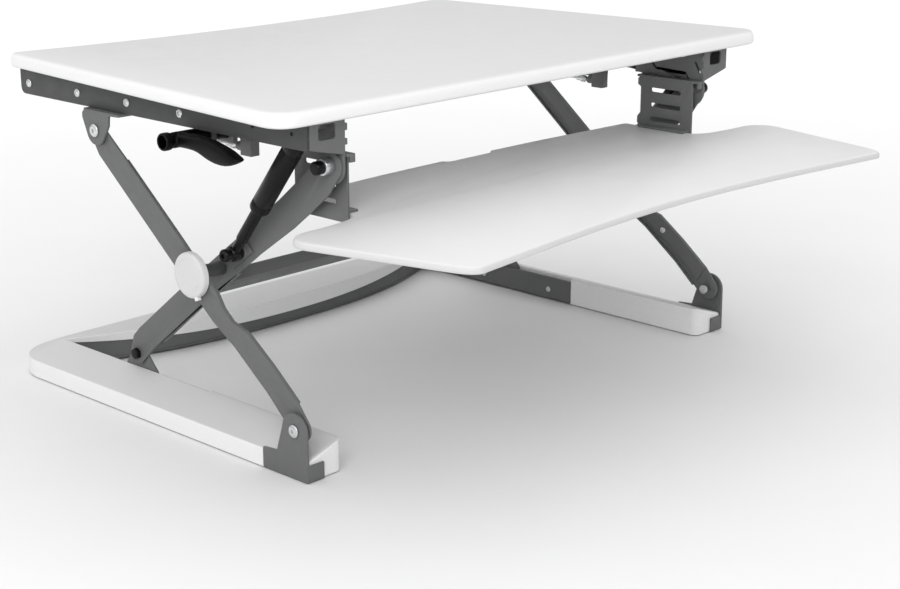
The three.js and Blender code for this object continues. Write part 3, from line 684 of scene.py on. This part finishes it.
def cover_stations():
    """Plan points of the outer edge, ridge and inner edge, with heights, from a foot's end to mid beam."""
    stations = []
    slope = (CROWN - SIDE_TOP) / (FOOT_OUTER - FOOT_RIDGE)

    def foot(y, inner, low, outer=FOOT_OUTER, drop=0.0):
        ridge = max(FOOT_RIDGE, inner + 1)
        side_top = SIDE_TOP + slope * (FOOT_OUTER - outer) - drop
        stations.append(((outer, y), (ridge, y), (inner, y), side_top, CROWN - drop, low))

    round_plan = 12
    round_top = 3.5
    seat = 396.1  # the foot is narrower where the front bracket lies against it
    seat_end = 76.4
    for i in range(7):
        turn = math.pi / 2 * i / 6
        forward = round_plan * (1 - math.cos(turn))
        left = max(0.0, round_top - forward)
        drop = round_top - math.sqrt(round_top**2 - left**2)
        inner = FOOT_INNER_FRONT + round_plan * (1 - math.sin(turn))
        foot(COVER_END + forward, inner, COVER_BOTTOM, seat, drop)
    foot(seat_end, FOOT_INNER_FRONT, COVER_BOTTOM, seat)
    foot(seat_end + 0.05, FOOT_INNER_FRONT, COVER_BOTTOM)
    for y in (120, 180, 233.9):
        foot(y, FOOT_INNER_FRONT, COVER_BOTTOM)
    for y in (234, 300, 370, 440, 500):
        foot(y, FOOT_INNER_REAR, TRACK_TOP)
    side_end = BASE_BACK - CORNER
    ridge_end = CROWN_REAR - RIDGE_CORNER
    turns = 12
    for i in range(turns + 1):
        turn = math.pi / 2 * i / turns
        cos = math.cos(turn)
        sin = math.sin(turn)
        outer = (FOOT_OUTER - CORNER + CORNER * cos, side_end + CORNER * sin)
        ridge = (FOOT_RIDGE - RIDGE_CORNER + RIDGE_CORNER * cos, ridge_end + RIDGE_CORNER * sin)
        share = 2 * i / turns
        if share <= 1:
            inner = (FOOT_INNER_REAR, side_end + (beam_front(FOOT_INNER_REAR) - side_end) * share)
        else:
            x = FOOT_INNER_REAR - RIDGE_CORNER * (share - 1)
            inner = (x, beam_front(x))
        low = TRACK_TOP if share < 1 else beam_low(inner[0])
        stations.append((outer, ridge, inner, SIDE_TOP, CROWN, low))
    beam_half = FOOT_INNER_REAR - RIDGE_CORNER
    steps = 16
    for i in range(1, steps + 1):
        x = beam_half * (1 - i / steps)
        outer = (x, BASE_BACK)
        ridge = (x, CROWN_REAR)
        stations.append((outer, ridge, (x, beam_front(x)), SIDE_TOP, CROWN, beam_low(x)))
    return stations


def make_cover():
    rings = []
    for outer, ridge, inner, side_top, crown, low in cover_stations():
        corners = [
            Vector((*outer, COVER_BOTTOM)),
            Vector((*outer, side_top)),
            Vector((*ridge, crown)),
            Vector((*inner, crown)),
            Vector((*inner, low)),
        ]
        rings.append(list(reversed(eased(corners, COVER_CURVES))))
    rings += [[Vector((-p.x, p.y, p.z)) for p in ring] for ring in reversed(rings[:-1])]
    form = bmesh.new()
    skin(form, rings, "first", around=False)
    form.verts.ensure_lookup_table()
    count = len(rings[0])
    form.faces.new(form.verts[-count:])
    bmesh.ops.remove_doubles(form, verts=form.verts, dist=0.001)
    cover = piece_from("moulded_base_cover", form, "base", "cover_white")
    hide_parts("base_cover")
    wall = cover.modifiers.new("wall", "SOLIDIFY")
    wall.thickness = COVER_WALL * MM
    wall.offset = -1
    wall.use_even_offset = False
    shade_smoothly(cover)


# ---------- release levers ----------

LEVER_AXIS = (204, 365.5)
LEVER_MIDDLE = 402
GRIP_START = 6  # behind the axis
GRIP_LENGTH = 116
GRIP_SIDES = 28
GRIP_SQUARENESS = 0.75  # 1 is an oval section, and less is squarer
# The grip's lower and upper edges and its half width, each as (distance from the axis, value)
LEVER_LOW = [
    (-110, -9),
    (-104, -12.5),
    (-90, -17.6),
    (-74, -18.6),
    (-56, -15.8),
    (-37, -9.6),
    (-20, -8),
    (6, -8.5),
]
LEVER_HIGH = [(-110, -7.8), (-104, -5.6), (-89, 0.8), (-70, 6), (-56, 8.6), (-40, 9.4), (-20, 9.3), (6, 8.5)]
LEVER_HALF_WIDTH = [(-110, 4.2), (-104, 7.6), (-90, 9.6), (-70, 9.2), (-45, 8), (-20, 8.6), (6, 9)]


def make_levers():
    for side, hand in ((1, "right"), (-1, "left")):
        form = bmesh.new()
        # The shaft, and the round head with a hollow end, as (x, radius)
        hub = [
            (324.6, 7.2),
            (325.4, 8),
            (352, 8),
            (355, 9.2),
            (411, 9.2),
            (413, 8.7),
            (414.5, 8.7),
            (416.5, 10.4),
            (424.6, 10.4),
            (425.9, 9.3),
            (425.9, 7.6),
            (413, 7.2),
        ]
        turned(hub, LEVER_AXIS, segments=40, form=form)
        rings = []
        steps = 32
        for i in range(steps + 1):
            along = GRIP_START - GRIP_LENGTH * i / steps
            low = between(LEVER_LOW, along)
            high = between(LEVER_HIGH, along)
            half = between(LEVER_HALF_WIDTH, along)
            ring = []
            for k in range(GRIP_SIDES):
                turn = 2 * math.pi * k / GRIP_SIDES
                across = math.copysign(abs(math.cos(turn)) ** GRIP_SQUARENESS, math.cos(turn))
                upward = math.copysign(abs(math.sin(turn)) ** GRIP_SQUARENESS, math.sin(turn))
                height = (low + high) / 2 + (high - low) / 2 * upward
                x = LEVER_MIDDLE + half * across
                ring.append((x, LEVER_AXIS[0] + along, LEVER_AXIS[1] + height))
            rings.append(ring)
        skin(form, rings)
        bmesh.ops.recalc_face_normals(form, faces=form.faces)
        lever = piece_from(f"squeeze_lever_{hand}", form, f"{hand}_release_lever", "black_plastic", side)
        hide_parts(f"release_lever_{hand}")
        blend = lever.modifiers.new("one_moulding", "REMESH")
        blend.mode = "VOXEL"
        blend.voxel_size = 0.9 * MM
        relax = lever.modifiers.new("relax", "SMOOTH")
        relax.factor = 0.5
        relax.iterations = 5
        shade_smoothly(lever)


# ---------- gas springs ----------

SPRING_TOP = (30, 396)  # y and z of the pin under the desktop
SPRING_X = 365.5
SPRING_ALONG = 181.5  # the lower pin, along the inner arm from its upper pivot
SPRING_OFF = -5  # and across it
TUBE_RADIUS = 12
GROOVE_RADIUS = 11.5
ROD_RADIUS = 7.2
EYE_HALF = 7


def make_springs():
    pin_y = FRONT_PIVOT + SPRING_ALONG * math.cos(REST) + SPRING_OFF * math.sin(REST)
    pin_z = HIGH_PIVOT - SPRING_ALONG * math.sin(REST) + SPRING_OFF * math.cos(REST)
    length = math.hypot(pin_y - SPRING_TOP[0], pin_z - SPRING_TOP[1])
    tilt = Matrix.Rotation(math.atan2(pin_z - SPRING_TOP[1], pin_y - SPRING_TOP[0]), 4, "X")
    put = Matrix.Translation((0, *SPRING_TOP)) @ tilt
    for side, hand in ((1, "right"), (-1, "left")):
        form = bmesh.new()
        # The neck, the tube with two rolled grooves and its open end, as (distance from the pin, radius)
        tube = [
            (5, 5.5),
            (13, 5.5),
            (14, 9),
            (15, 10.6),
            (17, 11.7),
            (19, TUBE_RADIUS),
            (33, TUBE_RADIUS),
            (33.8, GROOVE_RADIUS),
            (35.2, GROOVE_RADIUS),
            (36, TUBE_RADIUS),
            (117, TUBE_RADIUS),
            (117.8, GROOVE_RADIUS),
            (119.2, GROOVE_RADIUS),
            (120, TUBE_RADIUS),
            (128.5, TUBE_RADIUS),
            (130.4, 11.2),
            (131, 10),
            (131, 8.2),
            (126, 8),
        ]
        turned(tube, (SPRING_X, 0), "Y", 56, form)
        eye = [
            (SPRING_X - EYE_HALF, 8.2),
            (SPRING_X - EYE_HALF + 0.8, 8.8),
            (SPRING_X + EYE_HALF - 0.8, 8.8),
            (SPRING_X + EYE_HALF, 8.2),
            (SPRING_X + EYE_HALF, 4.6),
            (SPRING_X - EYE_HALF, 4.6),
        ]
        turned(eye, (0, 0), "X", 40, form, "join")
        bmesh.ops.transform(form, matrix=put, verts=form.verts)
        bmesh.ops.recalc_face_normals(form, faces=form.faces)
        tube_piece = piece_from(f"gas_tube_{hand}", form, "gas_cylinders", "black_steel", side)
        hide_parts(f"spring_cylinder_{hand}")
        soften(tube_piece, 0, merge_flats=False)

        form = bmesh.new()
        sleeve = [
            (94, ROD_RADIUS),
            (length - 27, ROD_RADIUS),
            (length - 25.5, 6.8),
            (length - 21, 5.8),
            (length - 10, 5.6),
            (length - 3, 5.6),
        ]
        turned(sleeve, (SPRING_X, 0), "Y", 40, form)
        # The eye on the lower pin and the pin's head with its hex socket, as (x, radius)
        rod_end = [
            (356.4, 7.4),
            (357.4, 8.6),
            (359, 9.3),
            (362, 9.7),
            (367, 9.7),
            (370, 9.2),
            (371.4, 8.3),
            (372.2, 7.4),
            (373, 7.9),
            (379.6, 7.9),
            (381, 7.3),
            (381.8, 6.2),
            (381.8, 3.2, 6),
            (379.4, 3.2, 6),
        ]
        turned(rod_end, (length, 0), "X", 48, form)
        bmesh.ops.transform(form, matrix=put, verts=form.verts)
        bmesh.ops.recalc_face_normals(form, faces=form.faces)
        rod_piece = piece_from(f"gas_rod_{hand}", form, "gas_rods", "black_steel", side)
        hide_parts(f"spring_rod_{hand}")
        soften(rod_piece, 0, merge_flats=False)


# ---------- scissor joint caps ----------


CAP_FACE = 402


def make_caps():
    face = CAP_FACE
    # The rounded rim and the face with a ring groove, as (x, radius)
    side_shading = [
        (392.1, 25.6),
        (392.4, 26.8),
        (393.2, 27.5),
        (398.8, 27.5),
        (400.2, 27.1),
        (401.1, 26.3),
        (401.7, 25.2),
        (face, 23.8),
        (face, 20.4),
        (face - 0.35, 20),
        (face - 0.35, 19.4),
        (face, 19),
        (face, 4),
    ]
    for side, hand in ((1, "right"), (-1, "left")):
        form = turned(side_shading, CENTRE, segments=88)
        bmesh.ops.recalc_face_normals(form, faces=form.faces)
        cap = piece_from(f"joint_cap_{hand}", form, "outer_arms", "cover_white", side)
        wear_slot(cap, "cap_white")
        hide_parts(f"centre_cap_{hand}")
        soften(cap, 0, merge_flats=False)
        tab = brick((395, 401), (-2.6, 2.6), (-31, -26), 0.7)
        turn = Matrix.Rotation(math.radians(-24), 4, "X")
        bmesh.ops.transform(tab, matrix=Matrix.Translation((0, *CENTRE)) @ turn, verts=tab.verts)
        soften(piece_from(f"joint_cap_tab_{hand}", tab, "outer_arms", "cover_white", side), 0)


def brick(xs, ys, zs, rounding):
    """A block with rounded edges."""
    form = bmesh.new()
    bmesh.ops.create_cube(form, size=1)
    for vertex in form.verts:
        vertex.co = Vector(
            (low + high) / 2 + (high - low) * share for (low, high), share in zip((xs, ys, zs), vertex.co)
        )
    bmesh.ops.bevel(
        form,
        geom=list(form.edges) + list(form.verts),
        offset=rounding,
        segments=3,
        profile=0.5,
        affect="EDGES",
    )
    return form


# ---------- fasteners ----------

ARM_SCREW = 107  # along the outer arm from its front pivot
ARM_SCREW_RISE = 6  # and across it
ARM_INNER_FACE = 386
RAIL_FACE = 387.1
RAIL_SCREW_HEIGHT = 391.5
RAIL_SCREWS = (522, 418.6, 319.6, 219.2)
RAIL_PLUG_HEIGHT = 393.4
RAIL_PLUGS = (91.8, 27.3)
TRACK_FACE = 340.8
TRACK_SCREW_HEIGHT = 16.5
TRACK_SCREWS = (276.4, 407.6)


def paint_socket_shade(form, centre, radius):
    """Gives the faces inside a screw's hex socket the second material, a black painted shade for the recess.
    """
    for face in form.faces:
        reach = [math.hypot(v.co.y - centre[0], v.co.z - centre[1]) for v in face.verts]
        if max(reach) < radius * SOCKET * 1.1:
            face.material_index = 1


def socket_screw(name, face, centre, body, side, size=(5.2, 1.9), outwards=1):
    """A plated screw head whose socket is painted black as shade, lying on a side face."""
    form = turned(button_screw(face, *size, outwards), centre)
    if outwards < 0:
        bmesh.ops.reverse_faces(form, faces=form.faces)
    paint_socket_shade(form, centre, size[0])
    screw = piece_from(name, form, body, "bright_steel", side)
    # painted shade: the socket's inside is black, for the shade in the recess
    screw.data.materials.append(LOOKS["black_steel"])
    soften(screw, 0)


def make_screws():
    arm_y = FRONT_PIVOT + ARM_SCREW * math.cos(REST) - ARM_SCREW_RISE * math.sin(REST)
    arm_z = LOW_PIVOT + ARM_SCREW * math.sin(REST) + ARM_SCREW_RISE * math.cos(REST)
    for side, hand in ((1, "right"), (-1, "left")):
        arm_name = f"arm_screw_{hand}"
        socket_screw(arm_name, ARM_INNER_FACE, (arm_y, arm_z), "outer_arms", side, (4.6, 1.8), -1)
        for number, y in enumerate(RAIL_SCREWS, 1):
            place = (y, RAIL_SCREW_HEIGHT)
            socket_screw(f"rail_screw_{hand}_{number}", RAIL_FACE, place, "desktop", side)
        for number, y in enumerate(RAIL_PLUGS, 1):
            plug = [(386.8, 2.4), (387.2, 2.4), (387.25, 1.9)]
            form = turned(plug, (y, RAIL_PLUG_HEIGHT), segments=20)
            soften(piece_from(f"rail_plug_{hand}_{number}", form, "desktop", "black_plastic", side), 0)
        for number, y in enumerate(TRACK_SCREWS, 1):
            place = (y, TRACK_SCREW_HEIGHT)
            name = f"track_screw_{hand}_{number}"
            socket_screw(name, TRACK_FACE, place, "base", side, (4.4, 1.8), -1)


# ---------- floor, light and camera ----------

FLOOR_REACH = 30
FLOOR_SHADE_TONE = (0.745, 0.765)  # painted shade: the floor's colour round the object, darker than far from it
FLOOR_FAR = 0.98
FLOOR_FADE = (0.3, 2.6)  # metres from the middle over which the painted shade fades
SKY_LEVEL = 0.30  # the studio's brightness at eye level
SKY_TOP = 1.44  # and overhead
CAMERA_LENS = 69.93
CAMERA_YAW = math.radians(46.6)
CAMERA_PITCH = math.radians(16.405)
CAMERA_PLACE = (-1611.1, -1363.9, 757.5)
KEY_PLACE = (-2.7, -1.9, 1.9)  # the soft lamp, in metres
KEY_TARGET = (0, 0, 0.2)
KEY_SIZE = (2.2, 1.6)
KEY_POWER = 42


def make_stage():
    """A pale floor with painted shade round the object, fading to lighter far from it."""
    mesh = bpy.data.meshes.new("floor")
    size = FLOOR_REACH
    corners = [(-size, -size, 0), (size, -size, 0), (size, size, 0), (-size, size, 0)]
    mesh.from_pydata(corners, [], [(0, 1, 2, 3)])
    floor = bpy.data.objects.new("floor", mesh)
    bpy.context.scene.collection.objects.link(floor)
    material, surface = shader("pale_floor")
    place = add(material, "ShaderNodeTexCoord")
    away = add(material, "ShaderNodeVectorMath", {0: place.outputs["Object"]}, operation="LENGTH")
    sweep = add(
        material,
        "ShaderNodeMapRange",
        {"Value": away.outputs["Value"], "From Min": FLOOR_FADE[0], "From Max": FLOOR_FADE[1]},
    )
    # painted shade: the floor round the object is darker, with a faint noise
    floor_shade = spread(material, noise(material, 3, 2), *FLOOR_SHADE_TONE)
    tone = add(
        material,
        "ShaderNodeMix",
        {"Factor": sweep.outputs["Result"], "A": floor_shade, "B": FLOOR_FAR},
    ).outputs["Result"]
    colour = add(material, "ShaderNodeCombineColor", {"Red": tone, "Green": tone, "Blue": tone})
    material.node_tree.links.new(colour.outputs[0], surface.inputs["Base Color"])
    surface.inputs["Roughness"].default_value = 0.7
    surface.inputs["Specular IOR Level"].default_value = 0.2
    floor.data.materials.append(material)


def area_light(name, place, target, size, power):
    data = bpy.data.lights.new(name, "AREA")
    data.shape = "RECTANGLE"
    data.size = size[0]
    data.size_y = size[1]
    data.energy = power
    lamp = bpy.data.objects.new(name, data)
    lamp.location = place
    lamp.rotation_euler = (Vector(target) - Vector(place)).to_track_quat("-Z", "Y").to_euler()
    bpy.context.scene.collection.objects.link(lamp)


def make_light():
    """A studio, brightest overhead and plain white to the camera, with a large soft lamp at the left."""
    world = bpy.data.worlds.new("studio")
    bpy.context.scene.world = world
    world.use_nodes = True
    nodes = world.node_tree.nodes
    links = world.node_tree.links
    place = nodes.new("ShaderNodeTexCoord")
    parts = nodes.new("ShaderNodeSeparateXYZ")
    fade = nodes.new("ShaderNodeMapRange")
    fade.inputs["To Min"].default_value = SKY_LEVEL
    fade.inputs["To Max"].default_value = SKY_TOP
    links.new(place.outputs["Generated"], parts.inputs[0])
    links.new(parts.outputs["Z"], fade.inputs["Value"])
    seen = nodes.new("ShaderNodeLightPath")
    strength = nodes.new("ShaderNodeMix")
    strength.inputs["B"].default_value = 1.0
    links.new(seen.outputs["Is Camera Ray"], strength.inputs["Factor"])
    links.new(fade.outputs["Result"], strength.inputs["A"])
    links.new(strength.outputs["Result"], nodes["Background"].inputs["Strength"])
    nodes["Background"].inputs["Color"].default_value = (1, 1, 1, 1)
    area_light("key", KEY_PLACE, KEY_TARGET, KEY_SIZE, KEY_POWER)


def make_camera():
    data = bpy.data.cameras.new("camera")
    data.lens = CAMERA_LENS
    data.sensor_width = 36
    camera = bpy.data.objects.new("camera", data)
    camera.location = at(*CAMERA_PLACE)
    camera.rotation_euler = (math.pi / 2 - CAMERA_PITCH, 0, -CAMERA_YAW)
    bpy.context.scene.collection.objects.link(camera)
    bpy.context.scene.camera = camera


# ---------- build ----------

WHOLE_FACES = ("base_frame", "base_cover")  # large pierced faces that stay as they are
EDGE_ROUNDING = 0.45


def dress_cad():
    """Gives every CAD piece its look, and softens its edges with modifiers."""
    slots = {part["node"]: part["material_slot"] for part in frame["record"]["subparts"]}
    for name, node in frame["nodes"].items():
        wear_slot(node, slots[name])
        whole = name in WHOLE_FACES
        soften(node, 0 if whole else EDGE_ROUNDING, merge_flats=not whole)


dress_cad()
make_board()
make_tray()
make_cover()
make_levers()
make_springs()
make_caps()
make_screws()
make_stage()
make_light()
make_camera()
bpy.context.scene.view_settings.view_transform = "Standard"
